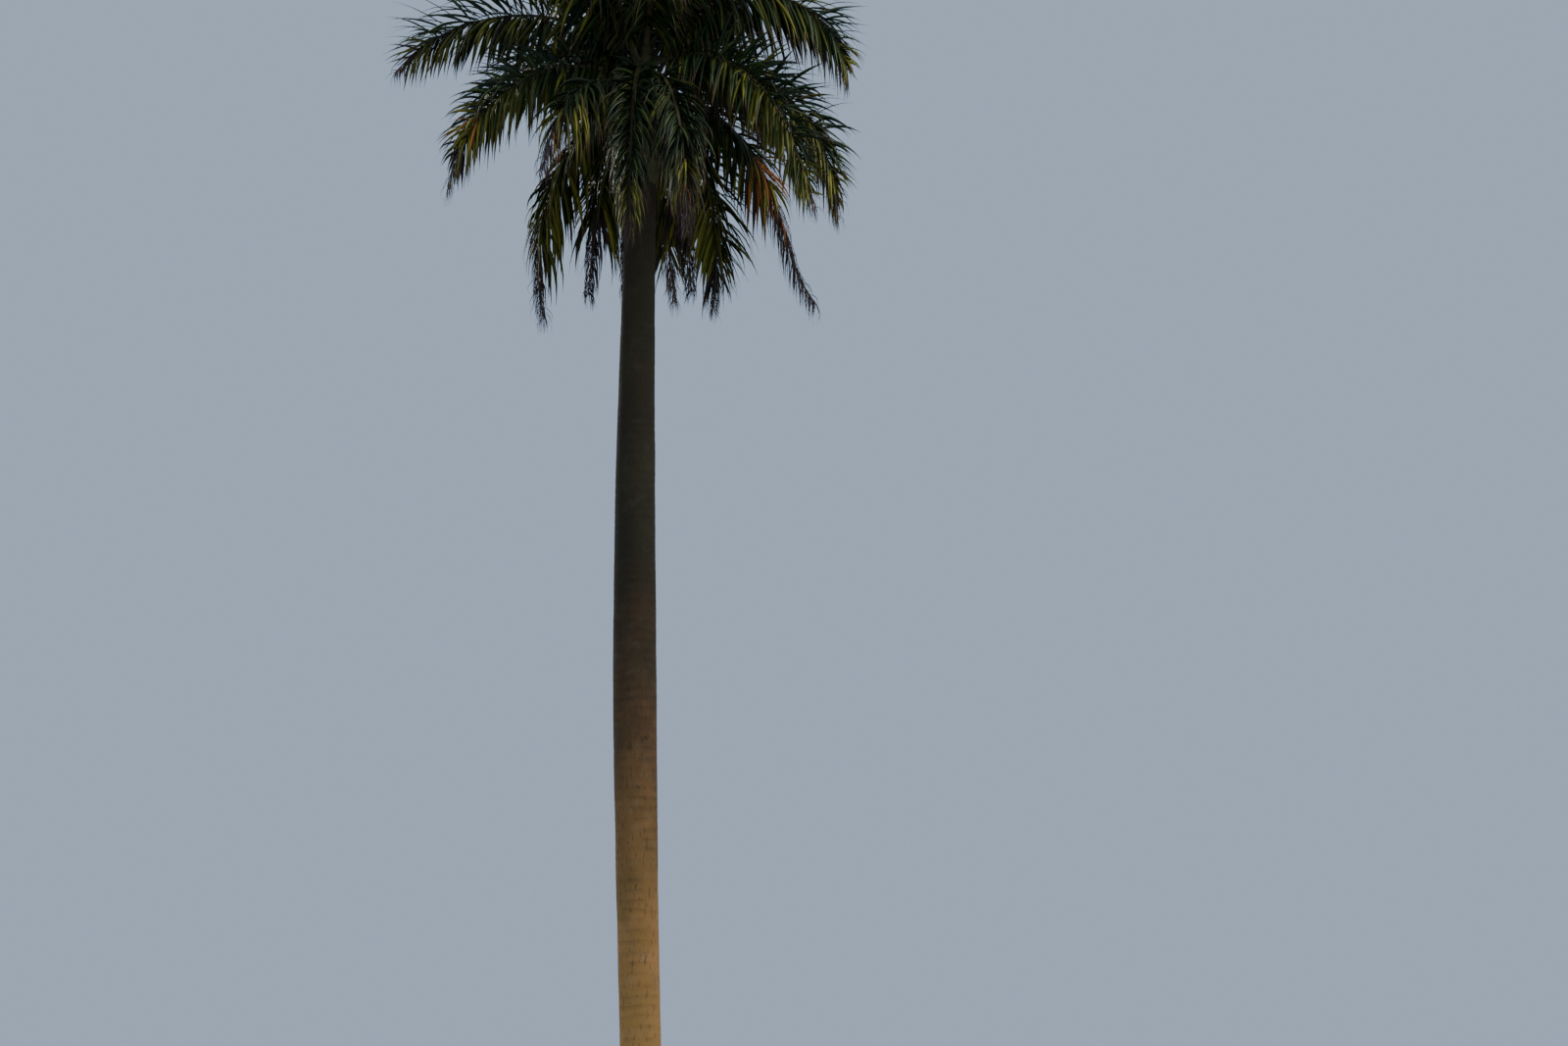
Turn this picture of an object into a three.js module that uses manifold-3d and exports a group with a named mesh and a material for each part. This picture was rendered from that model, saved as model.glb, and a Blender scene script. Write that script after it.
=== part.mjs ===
// A tall feather palm: a smooth grey trunk that swells a little in the middle, the sheath
// of clasping leaf bases above it, an unopened spear leaf, and a crown of arching and
// hanging fronds whose older ends are withered.
//
// Millimetres, +Z up. The origin is on the flat cut under the trunk, at ground level.
// +Y points away from the viewer, and azimuths are counted from +X towards +Y.

import * as THREE from 'three';
import Module from 'manifold-3d';

const wasm = await Module();
wasm.setup();

// Trunk and sheath heights
const SHEATH_FOOT = 12900;
const SHEATH_TOP = 15050;
const BOW = 140; // how far the trunk bows to -X at mid height
const GAP = 0.3; // clearance between pieces that touch

// Trunk diameters: a waist, a swelling above it, a flare at the foot and a slimmer neck
const WAIST = 425;
const SWELL = 55;
const SWELL_HEIGHT = 7000;
const SWELL_SPREAD = 2600;
const FLARE = 265;
const FLARE_HEIGHT = 800;
const NECK_LOSS = 60;
const NECK_START = 9000;
const TRUNK_SIDES = 32;
const TRUNK_RINGS = 20;

// Sheath diameters
const SHEATH_FOOT_WIDTH = 372;
const SHEATH_BULGE = 36;
const SHEATH_TOP_WIDTH = 150;
const SHEATH_SIDES = 36;
const SHEATH_RINGS = 10;

// Spear leaf
const SPEAR_LENGTH = 2100;
const SPEAR_WIDTH = 110;
const SPEAR_TIP_WIDTH = 16;
const SPEAR_SIDES = 10;
const SPEAR_RINGS = 5;

// Fronds stand round the sheath at the golden angle, the oldest lowest
const FROND_COUNT = 26;
const GOLDEN_ANGLE = 137.508;
const FIRST_AZIMUTH = 98;
const LOWEST_SEAT = 14050;
const SEAT_STEP = 36;
const SEAT_PASSES = 4; // how often a seat is moved up to the sheath
const SEAT_SEARCH = 200; // the widest gap that is measured there

// Frond rib: width and thickness at its seat and its tip
const SEAT_WIDTH = 96;
const SEAT_THICKNESS = 44;
const TIP_WIDTH = 14;
const TIP_THICKNESS = 9;
const PETIOLE_SHARE = 0.08; // the share of a rib that has no leaflets
const PETIOLE_STEPS = 2;
const FLICK_POWER = 5; // how late along its rib a frond's flick comes
const LEAFLET_STEPS = 34;
const EARLIEST_CUT = 0.22; // a frond is cut in two where half its turn is done, after this share

// Leaflets: flat wedges from the rib's side to a point
const LEAFLET_LENGTH = 960;
const CLEARANCE = 3; // kept round a leaflet when it is tested against other fronds
const SHORTER = [1, 0.8, 0.6, 0.4]; // lengths tried before a leaflet is skipped
const DRY_LENGTH = 0.72; // a withered leaflet's share of the length of a live one
const YOUNG_DROOP = 0.4; // how strongly a leaflet hangs from its own direction
const OLD_DROOP = 1.2;
const DRY_DROOP = 2.4;
const END_LENGTH = 0.22; // the last leaflet's share of that length, at the rib's end
const FIRST_LEAN = 72; // degrees between a leaflet and the rib, from the first leaflet
const LAST_LEAN = 28; // to the last
const SWELLING_START = 0.22; // where the first and the last leaflet stand on the half wave
const SWELLING_END = 0.91; // that gives their lengths, as shares of it
const MOSTLY_DRY = 0.4; // the withered share from which a frond has the withered colour
const YOUNGEST_OLIVE = 10;

// By rank: degrees above the rib's side, further degrees from the rib, the shares of the
// droop and of the length, and how much the lengths differ along the rib.
const RANKS = {
  low: { lift: -26, further: 0, hang: 2.5, longer: 1, power: 0.7 },
  high: { lift: 34, further: 4, hang: 0.6, longer: 0.82, power: 1.4 },
  top: { lift: 62, further: 12, hang: 0.15, longer: 0.8, power: 1.4 },
};
const LIMP_HANG = 1.6; // the least share of the droop in a wholly limp frond
const DRY_HANG = 1.3; // the same for a withered leaflet
const TOUCH_VOLUME = 0.5; // a shared volume under this is only rounding

// What the photographed fronds do that the rule for their age doesn't give.
// aside turns the azimuth; rise and turn are the rib's first slope and its whole bend, in
// degrees; bend under 1 puts the curve near the seat; flick is how far the rib's end turns
// back out, in degrees; withered is the dry end's share; limp is how far the upper leaflets
// hang like the lower ones; crest scales the upper ones and fringe the lower ones.
const SEEN = {
  0: {
    aside: 1, length: 2360, rise: -11, turn: 75, bend: 0.7, withered: 0.5, limp: 0.9,
    crest: 0.8, fringe: 0.72,
  },
  1: { aside: 1, length: 2760, rise: 8, turn: 85, bend: 0.63, withered: 0.3 },
  2: {
    aside: 8, length: 3480, rise: 47, turn: 153, bend: 0.46, flick: 58, withered: 0.5,
    limp: 0.5,
  },
  3: {
    length: 3250, rise: 6, turn: 110, bend: 0.55, withered: 0.35, limp: 0.8, crest: 0.75,
    fringe: 1.06,
  },
  4: { aside: -2, length: 3250, rise: 8, turn: 100, bend: 0.5, withered: 0.2 },
  5: { aside: 1, length: 2580, rise: 0, turn: 84, bend: 0.45, withered: 0.42, limp: 0.85 },
  6: {
    aside: -13, length: 3140, rise: 54, turn: 136, bend: 0.52, withered: 0.15, limp: 0.15,
    fringe: 0.9,
  },
  7: {
    aside: 9, length: 3500, rise: 40, turn: 138, bend: 0.66, flick: 8, withered: 0.1, limp: 0.1,
  },
  8: {
    aside: 3, length: 2700, rise: 5, turn: 88, bend: 0.3, withered: 0.38, limp: 0.8,
    fringe: 1.15,
  },
  9: {
    aside: 8, length: 3300, rise: 6, turn: 98, bend: 0.4, withered: 0.15, limp: 0.6,
    fringe: 0.88,
  },
  10: {
    aside: 12, length: 3170, rise: 4, turn: 106, bend: 0.45, withered: 0.2, limp: 0.4,
    droop: 0.75, crest: 1.2,
  },
  11: {
    aside: 6, length: 3380, rise: 64, turn: 116, bend: 0.84, withered: 0.1, droop: 0.75,
    crest: 1.5, fringe: 0.84,
  },
  12: { aside: 20, length: 3560, rise: 29, turn: 124, bend: 0.54, flick: 24, withered: 0.1 },
  13: {
    aside: -6, length: 3000, rise: 2, turn: 78, bend: 0.35, flick: 45, withered: 0.24,
    limp: 0.55, droop: 0.7,
  },
  14: { rise: 60, turn: 88, withered: 0.05 },
  15: {
    aside: -10, length: 3360, rise: 74, turn: 164, bend: 0.95, withered: 0.05, droop: 1.1,
    crest: 1.25, fringe: 1.12,
  },
  17: { rise: 44, turn: 112, bend: 0.9, withered: 0.1 },
  18: { rise: 50, turn: 104, bend: 1, withered: 0.1 },
  19: { rise: 74, turn: 80, withered: 0.05 },
  21: { rise: 46, turn: 104, bend: 0.9, withered: 0.1 },
};

const COLOURS = {
  trunk: '#7d776b',
  sheath: '#66704a',
  green: '#4d6228',
  olive: '#6f6f2b',
  withered: '#7b6248',
};

const UP = new THREE.Vector3(0, 0, 1);
const radians = THREE.MathUtils.degToRad;
const mix = THREE.MathUtils.lerp;
const ease = THREE.MathUtils.smoothstep;

// Collects the faces of one closed mesh.
class Shell {
  points = [];
  faces = [];

  add(point) {
    this.points.push(point);
    return this.points.length - 1;
  }

  quad(a, b, c, d) {
    this.faces.push([a, b, c], [a, c, d]);
  }

  // The wall between two loops of equal size, the second further along.
  wall(loop, next) {
    loop.forEach((corner, i) => {
      const j = (i + 1) % loop.length;
      this.quad(corner, loop[j], next[j], next[i]);
    });
  }

  // A fan that closes a loop on one point.
  fan(loop, apex) {
    loop.forEach((corner, i) => {
      this.faces.push([corner, loop[(i + 1) % loop.length], apex]);
    });
  }

  geometry() {
    const made = new THREE.BufferGeometry();
    made.setAttribute(
      'position',
      new THREE.Float32BufferAttribute(this.points.flatMap((p) => p.toArray()), 3),
    );
    made.setIndex(this.faces.flat());
    made.computeVertexNormals();
    return made;
  }

  solid() {
    const mesh = new wasm.Mesh({
      numProp: 3,
      vertProperties: new Float32Array(this.points.flatMap((p) => p.toArray())),
      triVerts: new Uint32Array(this.faces.flat()),
    });
    return new wasm.Manifold(mesh);
  }

  box() {
    return new THREE.Box3().setFromPoints(this.points);
  }
}

// The trunk's centre line.
function axisAt(height) {
  return new THREE.Vector3(-BOW * Math.sin((Math.PI * height) / SHEATH_TOP), 0, height);
}

function trunkWidth(height) {
  const swell = SWELL * Math.exp(-(((height - SWELL_HEIGHT) / SWELL_SPREAD) ** 2));
  const flare = FLARE * Math.exp(-height / FLARE_HEIGHT);
  const neck = NECK_LOSS * ease(height, NECK_START, SHEATH_FOOT);
  return WAIST + swell + flare - neck;
}

function sheathWidth(height) {
  const share = (height - SHEATH_FOOT) / (SHEATH_TOP - SHEATH_FOOT);
  const bulge = SHEATH_BULGE * Math.sin(Math.PI * Math.min(1, share / 0.7)) ** 2;
  return mix(SHEATH_FOOT_WIDTH, SHEATH_TOP_WIDTH, ease(share, 0.35, 1.1)) + bulge;
}

// An upright column round the trunk's axis, through the given heights.
function column(heights, widthAt, sides) {
  const shell = new Shell();
  const loops = heights.map((height) => {
    const centre = axisAt(height);
    return Array.from({ length: sides }, (_, i) => {
      const angle = (2 * Math.PI * i) / sides;
      const reach = widthAt(height) / 2;
      const spoke = new THREE.Vector3(Math.cos(angle), Math.sin(angle), 0);
      return shell.add(spoke.multiplyScalar(reach).add(centre));
    });
  });
  loops.slice(1).forEach((loop, i) => shell.wall(loops[i], loop));
  shell.fan([...loops[0]].reverse(), shell.add(axisAt(heights[0])));
  shell.fan(loops.at(-1), shell.add(axisAt(heights.at(-1))));
  return shell;
}

// Heights from foot to top, closer together near the foot as power grows past 1.
function heightsBetween(foot, top, steps, power = 1) {
  return Array.from({ length: steps + 1 }, (_, i) => mix(foot, top, (i / steps) ** power));
}

function spearWidth(height) {
  const share = (height - SHEATH_TOP) / SPEAR_LENGTH;
  return mix(SPEAR_WIDTH, SPEAR_TIP_WIDTH, share ** 1.6);
}

// One frond's habit, from its place in the order of age.
function habit(index) {
  const age = 1 - index / (FROND_COUNT - 1);
  const ruled = {
    aside: 0,
    length: mix(3400, 3300, age),
    rise: mix(80, -12, age),
    turn: mix(78, 92, ease(age, 0, 0.35)),
    bend: mix(1.3, 0.8, age),
    withered: 0.08,
    droop: mix(YOUNG_DROOP, OLD_DROOP, age),
    limp: 0.75 * ease(age, 0.45, 1),
    crest: 1,
    fringe: 1,
    flick: 0,
  };
  const made = { ...ruled, ...SEEN[index] };
  made.azimuth = radians(FIRST_AZIMUTH + GOLDEN_ANGLE * index + made.aside);
  made.seat = LOWEST_SEAT + SEAT_STEP * index;
  return made;
}

const sheathHeights = heightsBetween(SHEATH_FOOT, SHEATH_TOP - GAP, SHEATH_RINGS);
const sheath = column(sheathHeights, sheathWidth, SHEATH_SIDES);
const sheathSolid = sheath.solid();

// Where a frond's flat seat stands one clearance away from the sheath.
function seatPoint(frond, outward, side) {
  let reach = sheathWidth(frond.seat) / 2 + SEAT_THICKNESS;
  for (let pass = 0; pass < SEAT_PASSES; pass += 1) {
    const point = axisAt(frond.seat).addScaledVector(outward, reach);
    const shell = new Shell();
    ribLoop(shell, { share: 0, point, side }, true);
    shell.add(point.addScaledVector(outward, SEAT_THICKNESS));
    reach -= hullOf(shell.points, 0).solid.minGap(sheathSolid, SEAT_SEARCH) - GAP;
  }
  return axisAt(frond.seat).addScaledVector(outward, reach);
}

// Stations along a frond's rib: its point, direction, side and upper normal at each.
function ribStations(frond) {
  const outward = new THREE.Vector3(Math.cos(frond.azimuth), Math.sin(frond.azimuth), 0);
  const side = new THREE.Vector3().crossVectors(outward, UP);
  const along = (share) => {
    const bent = frond.rise - frond.turn * share ** frond.bend;
    const slope = radians(bent + frond.flick * share ** FLICK_POWER);
    return outward.clone().multiplyScalar(Math.cos(slope)).addScaledVector(UP, Math.sin(slope));
  };
  const shares = [
    ...heightsBetween(0, PETIOLE_SHARE, PETIOLE_STEPS).slice(0, -1),
    ...heightsBetween(PETIOLE_SHARE, 1, LEAFLET_STEPS),
  ];
  const point = seatPoint(frond, outward, side);
  return shares.map((share, i) => {
    if (i > 0) {
      const step = (share - shares[i - 1]) * frond.length;
      point.addScaledVector(along((share + shares[i - 1]) / 2), step);
    }
    const tangent = along(share);
    const normal = new THREE.Vector3().crossVectors(side, tangent);
    return { share, point: point.clone(), tangent, side, normal };
  });
}

// The four corners of the rib at a station. The seat's loop is upright, against the sheath.
function ribLoop(shell, station, atSeat) {
  const width = mix(SEAT_WIDTH, TIP_WIDTH, station.share ** 0.6) / 2;
  const thickness = mix(SEAT_THICKNESS, TIP_THICKNESS, station.share ** 0.7) / 2;
  const rise = atSeat ? UP : station.normal;
  return [[-1, -1], [-1, 1], [1, 1], [1, -1]].map(([across, upward]) =>
    shell.add(
      station.point.clone()
        .addScaledVector(station.side, across * width)
        .addScaledVector(rise, upward * thickness),
    ),
  );
}

// The faces of the rib that leaflets grow from, between two loops: its sides and its top.
// sign is the side that their leaflets reach to, and rank says how far above it they lift.
function ribFaces(loop, next, i) {
  const odd = i % 2 === 1;
  const between = (a, b) => [loop[a], loop[b], next[b], next[a]];
  return [
    { key: `${i} left`, sign: -1, rank: odd ? 'high' : 'low', corners: between(0, 1) },
    { key: `${i} right`, sign: 1, rank: odd ? 'low' : 'high', corners: between(2, 3) },
    { key: `${i} top`, sign: odd ? 1 : -1, rank: 'top', corners: between(1, 2) },
  ];
}

// The share of the greatest leaflet length at a share of the leafy rib, most in its middle.
function swelling(share, power) {
  return Math.sin(Math.PI * mix(SWELLING_START, SWELLING_END, share)) ** power;
}

// The point a leaflet ends in.
function leafletTip(frond, station, next, { sign, rank }, scale) {
  const { lift, further, hang, longer, power } = RANKS[rank];
  const share = (station.share - PETIOLE_SHARE) / (1 - PETIOLE_SHARE);
  const dry = station.share > 1 - frond.withered;
  const shorter = (dry ? DRY_LENGTH : 1) * (rank === 'low' ? frond.fringe : frond.crest);
  const length = LEAFLET_LENGTH * swelling(share, power) * longer * shorter * scale;
  const limpHang = mix(hang, Math.max(hang, LIMP_HANG), frond.limp);
  const droop = dry ? DRY_DROOP * Math.max(hang, DRY_HANG) : frond.droop * limpHang;
  const lean = radians(mix(FIRST_LEAN, LAST_LEAN, share) + further);
  const over = radians(lift);
  const out = station.tangent.clone().multiplyScalar(Math.cos(lean))
    .addScaledVector(station.side, sign * Math.sin(lean) * Math.cos(over))
    .addScaledVector(station.normal, Math.sin(lean) * Math.sin(over))
    .addScaledVector(UP, -droop)
    .normalize();
  return station.point.clone().lerp(next.point, 0.5).addScaledVector(out, length);
}

// Pieces that are already placed, as solids with the frond that they belong to, if any.
const placed = [];

function meets(index, exact, roomy) {
  return placed.some((other) => {
    const tested = other.owner === index ? exact : roomy;
    if (!other.box.intersectsBox(tested.box)) return false;
    return other.solid.intersect(tested.solid).volume() > TOUCH_VOLUME;
  });
}

// The solid round some points that spreads by the clearance past each of them.
function hullOf(points, clearance) {
  const spread = points.flatMap((point) =>
    clearance === 0
      ? [point]
      : [[1, 0, 0], [-1, 0, 0], [0, 1, 0], [0, -1, 0], [0, 0, 1], [0, 0, -1]].map((way) =>
        point.clone().addScaledVector(new THREE.Vector3(...way), clearance)),
  );
  const solid = wasm.Manifold.hull(spread.map((point) => point.toArray()));
  return { solid, box: new THREE.Box3().setFromPoints(spread) };
}

// The rib alone, as a closed solid, so that no leaflet of another frond crosses it.
function placeRib(index, stations) {
  const shell = new Shell();
  const loops = stations.map((station, i) => ribLoop(shell, station, i === 0));
  loops.slice(1).forEach((loop, i) => shell.wall(loops[i], loop));
  shell.fan([...loops[0]].reverse(), shell.add(stations[0].point.clone()));
  shell.fan(loops.at(-1), shell.add(stations.at(-1).point.clone()));
  placed.push({ solid: shell.solid(), box: shell.box(), owner: index });
}

// The longest leaflet tip that fits over a face of the rib, or null.
function fit(index, corners, tipAt) {
  for (const scale of SHORTER) {
    const tip = tipAt(scale);
    const points = [...corners, tip];
    const exact = hullOf(points, 0);
    if (!meets(index, exact, hullOf(points, CLEARANCE))) {
      placed.push({ ...exact, owner: index });
      return tip;
    }
  }
  return null;
}

// The leaflets that grow between two stations, by the key of the face they stand on.
function fitLeaflets(index, frond, stations, i, leaflets) {
  const shell = new Shell();
  const loops = [stations[i], stations[i + 1]].map((s) => ribLoop(shell, s, false));
  ribFaces(...loops, i).forEach((face) => {
    const corners = face.corners.map((c) => shell.points[c]);
    const tip = fit(index, corners, (scale) =>
      leafletTip(frond, stations[i], stations[i + 1], face, scale));
    leaflets.set(face.key, tip);
  });
}

// The last leaflet, which goes on from the rib's end.
function fitEnd(index, stations) {
  const shell = new Shell();
  const end = stations.at(-1);
  ribLoop(shell, end, false);
  return fit(index, shell.points, (scale) =>
    end.point.clone().addScaledVector(end.tangent, LEAFLET_LENGTH * END_LENGTH * scale));
}

// One piece of a frond from one station to another, with its leaflets.
function frondPiece(stations, leaflets, first, last) {
  const shell = new Shell();
  const final = stations.length - 1;
  const shifted = (i, shift) => ({
    ...stations[i],
    point: stations[i].point.clone().addScaledVector(stations[i].tangent, shift),
  });
  const loops = [];
  for (let i = first; i <= last; i += 1) {
    let station = stations[i];
    if (i === first && first > 0) station = shifted(i, GAP / 2);
    if (i === last && last < final) station = shifted(i, -GAP / 2);
    loops.push(ribLoop(shell, station, i === 0));
  }
  const cover = (corners, tip) => {
    if (tip) shell.fan(corners, shell.add(tip.clone()));
    else shell.quad(...corners);
  };
  for (let i = first; i < last; i += 1) {
    const loop = loops[i - first];
    const next = loops[i - first + 1];
    shell.quad(loop[3], loop[0], next[0], next[3]);
    ribFaces(loop, next, i).forEach(({ key, corners }) => cover(corners, leaflets.get(key)));
  }
  shell.quad(...[...loops[0]].reverse());
  cover(loops.at(-1), last === final ? leaflets.get('end') : null);
  return shell.geometry();
}

function finish(colour) {
  return new THREE.MeshStandardMaterial({ color: colour, roughness: 0.8, metalness: 0 });
}

const palm = new THREE.Group();

function addNode(name, geometry, material) {
  const mesh = new THREE.Mesh(geometry, material);
  mesh.name = name;
  palm.add(mesh);
}

const trunkHeights = heightsBetween(0, SHEATH_FOOT - GAP, TRUNK_RINGS, 1.5);
const trunk = column(trunkHeights, trunkWidth, TRUNK_SIDES);
addNode('trunk', trunk.geometry(), finish(COLOURS.trunk));

addNode('sheath', sheath.geometry(), finish(COLOURS.sheath));

const spearHeights = heightsBetween(SHEATH_TOP, SHEATH_TOP + SPEAR_LENGTH, SPEAR_RINGS);
const spear = column(spearHeights, spearWidth, SPEAR_SIDES);
addNode('spear_leaf', spear.geometry(), finish(COLOURS.green));

const fronds = Array.from({ length: FROND_COUNT }, (_, index) => {
  const frond = habit(index);
  return { index, frond, stations: ribStations(frond) };
});

[trunk, sheath, spear].forEach((shell) => {
  placed.push({ solid: shell.solid(), box: shell.box(), owner: null });
});
fronds.forEach(({ index, stations }) => placeRib(index, stations));

fronds.forEach(({ index, frond, stations }) => {
  const final = stations.length - 1;
  const leaflets = new Map([['end', fitEnd(index, stations)]]);
  for (let i = PETIOLE_STEPS; i < final; i += 1) {
    fitLeaflets(index, frond, stations, i, leaflets);
  }
  const live = index > YOUNGEST_OLIVE ? COLOURS.green : COLOURS.olive;
  const material = finish(frond.withered < MOSTLY_DRY ? live : COLOURS.withered);
  const name = `frond_${String(index + 1).padStart(2, '0')}`;
  const halfTurn = 0.5 ** (1 / frond.bend);
  const cut = stations.findIndex((s) => s.share >= Math.max(EARLIEST_CUT, halfTurn));
  addNode(`${name}_arch`, frondPiece(stations, leaflets, 0, cut), material);
  addNode(`${name}_fall`, frondPiece(stations, leaflets, cut, final), material);
});

export default palm;
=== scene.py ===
"""A tall feather palm: a ringed trunk, the sheath of clasping leaf bases above it, a spear
leaf, and a crown of plumed fronds whose oldest ends are dry. Metres, +Z up."""

import math

import bpy
import numpy as np
from mathutils import Matrix, Vector


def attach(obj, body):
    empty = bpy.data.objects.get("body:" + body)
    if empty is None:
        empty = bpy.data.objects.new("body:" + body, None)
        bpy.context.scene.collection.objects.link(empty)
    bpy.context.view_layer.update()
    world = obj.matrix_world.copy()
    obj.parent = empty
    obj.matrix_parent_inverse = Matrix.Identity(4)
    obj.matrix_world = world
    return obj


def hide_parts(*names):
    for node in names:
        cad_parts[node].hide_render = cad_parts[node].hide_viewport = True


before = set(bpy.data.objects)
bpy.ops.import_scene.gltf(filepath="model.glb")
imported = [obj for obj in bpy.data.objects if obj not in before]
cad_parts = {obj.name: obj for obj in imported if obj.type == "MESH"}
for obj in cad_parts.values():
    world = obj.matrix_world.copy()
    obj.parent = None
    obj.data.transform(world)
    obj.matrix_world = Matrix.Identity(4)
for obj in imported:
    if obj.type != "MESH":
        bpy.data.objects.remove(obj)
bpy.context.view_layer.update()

# The view of the photograph
IMAGE_WIDTH = 1600
FOCAL_PIXELS = 2200
SENSOR_WIDTH = 36.0
EYE = Vector((0.0, -23.3, 1.6))
YAW, PITCH, ROLL = math.radians(3.8), math.radians(17.0), math.radians(-1.25)

# The floor and the light: each lamp has its place, its power in watts and its width
FLOOR_WIDTH = 300.0
FLOOR_COLOUR = (0.74, 0.75, 0.76, 1)
SKY_COLOUR, SKY_STRENGTH = (0.5, 0.63, 0.83, 1), 0.72
LAMP_COLOUR = (1.0, 0.93, 0.8)
LAMP_AIM = (0, 0, 13)
LAMPS = {"key": ((13, -8, 27), 3600, 9.0), "back": ((-9, 14, 24), 2400, 8.0)}

# The trunk and sheath, as in the solids
SHEATH_FOOT = 12.9
SHEATH_TOP = 15.05
BOW = 0.14
WAIST = 0.425
SWELL = 0.055
SWELL_HEIGHT = 7.0
SWELL_SPREAD = 2.6
FLARE = 0.265
FLARE_HEIGHT = 0.8
NECK_LOSS = 0.06
NECK_START = 9.0
SHEATH_FOOT_WIDTH = 0.372
SHEATH_BULGE = 0.036
BULGE_SHARE = 0.7
SHEATH_TAPER = (0.35, 1.1)
SHEATH_TOP_WIDTH = 0.15
SPEAR_LENGTH = 2.1
SPEAR_WIDTH = 0.11
SPEAR_TIP = 0.016
SPEAR_TAPER = 1.6

# The finished trunk's rings of leaf scars, and the rows and corners of its mesh
TRUNK_SIDES = 120
RING_COUNT = 118
ROWS_PER_RING = 6
SCAR_DEPTH, SCAR_LIP = 0.0032, 0.002
SCAR_END, LIP_START, LIP_END = 0.25, 0.12, 0.3  # shares of a ring
LEVEL_END = 0.01  # the share of the trunk at each end where the rings turn level
RING_WANDER = 0.11  # how far a ring's height strays round the trunk
RING_DRIFT = 0.45  # how much that changes from each ring to the next
RING_GATHER = 0.045  # how much nearer to its scar a ring's rows stand
LUMP_REACH, FLUTE_REACH = 0.018, 0.05  # how far lumps and flutes stand out

# The fronds, as in the solids
FROND_COUNT = 26
GOLDEN_ANGLE = 137.508
FIRST_AZIMUTH = 98.0
LOWEST_SEAT = 14.05
SEAT_STEP = 0.036
SEAT_WIDTH, SEAT_THICKNESS = 0.096, 0.044
TIP_WIDTH, TIP_THICKNESS = 0.014, 0.009
WIDTH_TAPER, THICKNESS_TAPER = 0.6, 0.7
PETIOLE_SHARE = 0.08
FLICK_POWER = 5
RIB_STEPS = 72
LEAFLET_LENGTH = 0.96
DRY_LENGTH = 0.72
YOUNG_DROOP, OLD_DROOP, DRY_DROOP = 0.4, 1.2, 2.4
FIRST_LEAN, LAST_LEAN = 72.0, 28.0
SWELLING_START, SWELLING_END = 0.22, 0.91

# What the photographed fronds do that the rule for their age doesn't give, as in the solids.
# aside turns the azimuth; rise and turn are the rib's first slope and its whole bend, in
# degrees; bend under 1 puts the curve near the seat; flick is how far the rib's end turns
# back out, in degrees; withered is the dry end's share; limp is how far the upper leaflets
# hang like the lower ones; crest scales the upper ones and fringe the lower ones. yellow is
# the share of an old frond's yellowness, for the finished leaflets alone. It is painted light
# and shade too: set low on fronds 4, 9 and 15 as painted shade, and high on fronds 7, 10 and
# 12 as painted light shining through their hanging leaflets.
SEEN = {
    0: dict(
        aside=1, length=2.36, rise=-11, turn=75, bend=0.7, withered=0.5, limp=0.9, crest=0.8,
        fringe=0.72,
    ),
    1: dict(aside=1, length=2.76, rise=8, turn=85, bend=0.63, withered=0.3),
    2: dict(aside=8, length=3.48, rise=47, turn=153, bend=0.46, flick=58, withered=0.5, limp=0.5),
    3: dict(length=3.25, rise=6, turn=110, bend=0.55, withered=0.35, limp=0.8, crest=0.75, fringe=1.06),
    4: dict(aside=-2, length=3.25, rise=8, turn=100, bend=0.5, withered=0.2, yellow=0.1),
    5: dict(aside=1, length=2.58, rise=0, turn=84, bend=0.45, withered=0.42, limp=0.85),
    6: dict(aside=-13, length=3.14, rise=54, turn=136, bend=0.52, withered=0.15, limp=0.15, fringe=0.9),
    7: dict(
        aside=9, length=3.5, rise=40, turn=138, bend=0.66, flick=8, withered=0.1, limp=0.1,
        yellow=0.9,
    ),
    8: dict(aside=3, length=2.7, rise=5, turn=88, bend=0.3, withered=0.38, limp=0.8, fringe=1.15),
    9: dict(
        aside=8, length=3.3, rise=6, turn=98, bend=0.4, withered=0.15, limp=0.6, yellow=0.05,
        fringe=0.88,
    ),
    10: dict(
        aside=12, length=3.17, rise=4, turn=106, bend=0.45, withered=0.2, limp=0.4, yellow=1.0,
        droop=0.75, crest=1.2,
    ),
    11: dict(
        aside=6, length=3.38, rise=64, turn=116, bend=0.84, withered=0.1, yellow=0.45, droop=0.75,
        crest=1.5, fringe=0.84,
    ),
    12: dict(aside=20, length=3.56, rise=29, turn=124, bend=0.54, flick=24, withered=0.1, yellow=0.8),
    13: dict(
        aside=-6, length=3.0, rise=2, turn=78, bend=0.35, flick=45, withered=0.24, limp=0.55,
        droop=0.7,
    ),
    14: dict(rise=60, turn=88, withered=0.05),
    15: dict(
        aside=-10, length=3.36, rise=74, turn=164, bend=0.95, withered=0.05, yellow=0.05,
        droop=1.1, crest=1.25, fringe=1.12,
    ),
    17: dict(rise=44, turn=112, bend=0.9, withered=0.1),
    18: dict(rise=50, turn=104, bend=1.0, withered=0.1),
    19: dict(rise=74, turn=80, withered=0.05),
    21: dict(rise=46, turn=104, bend=0.9, withered=0.1),
}

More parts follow.
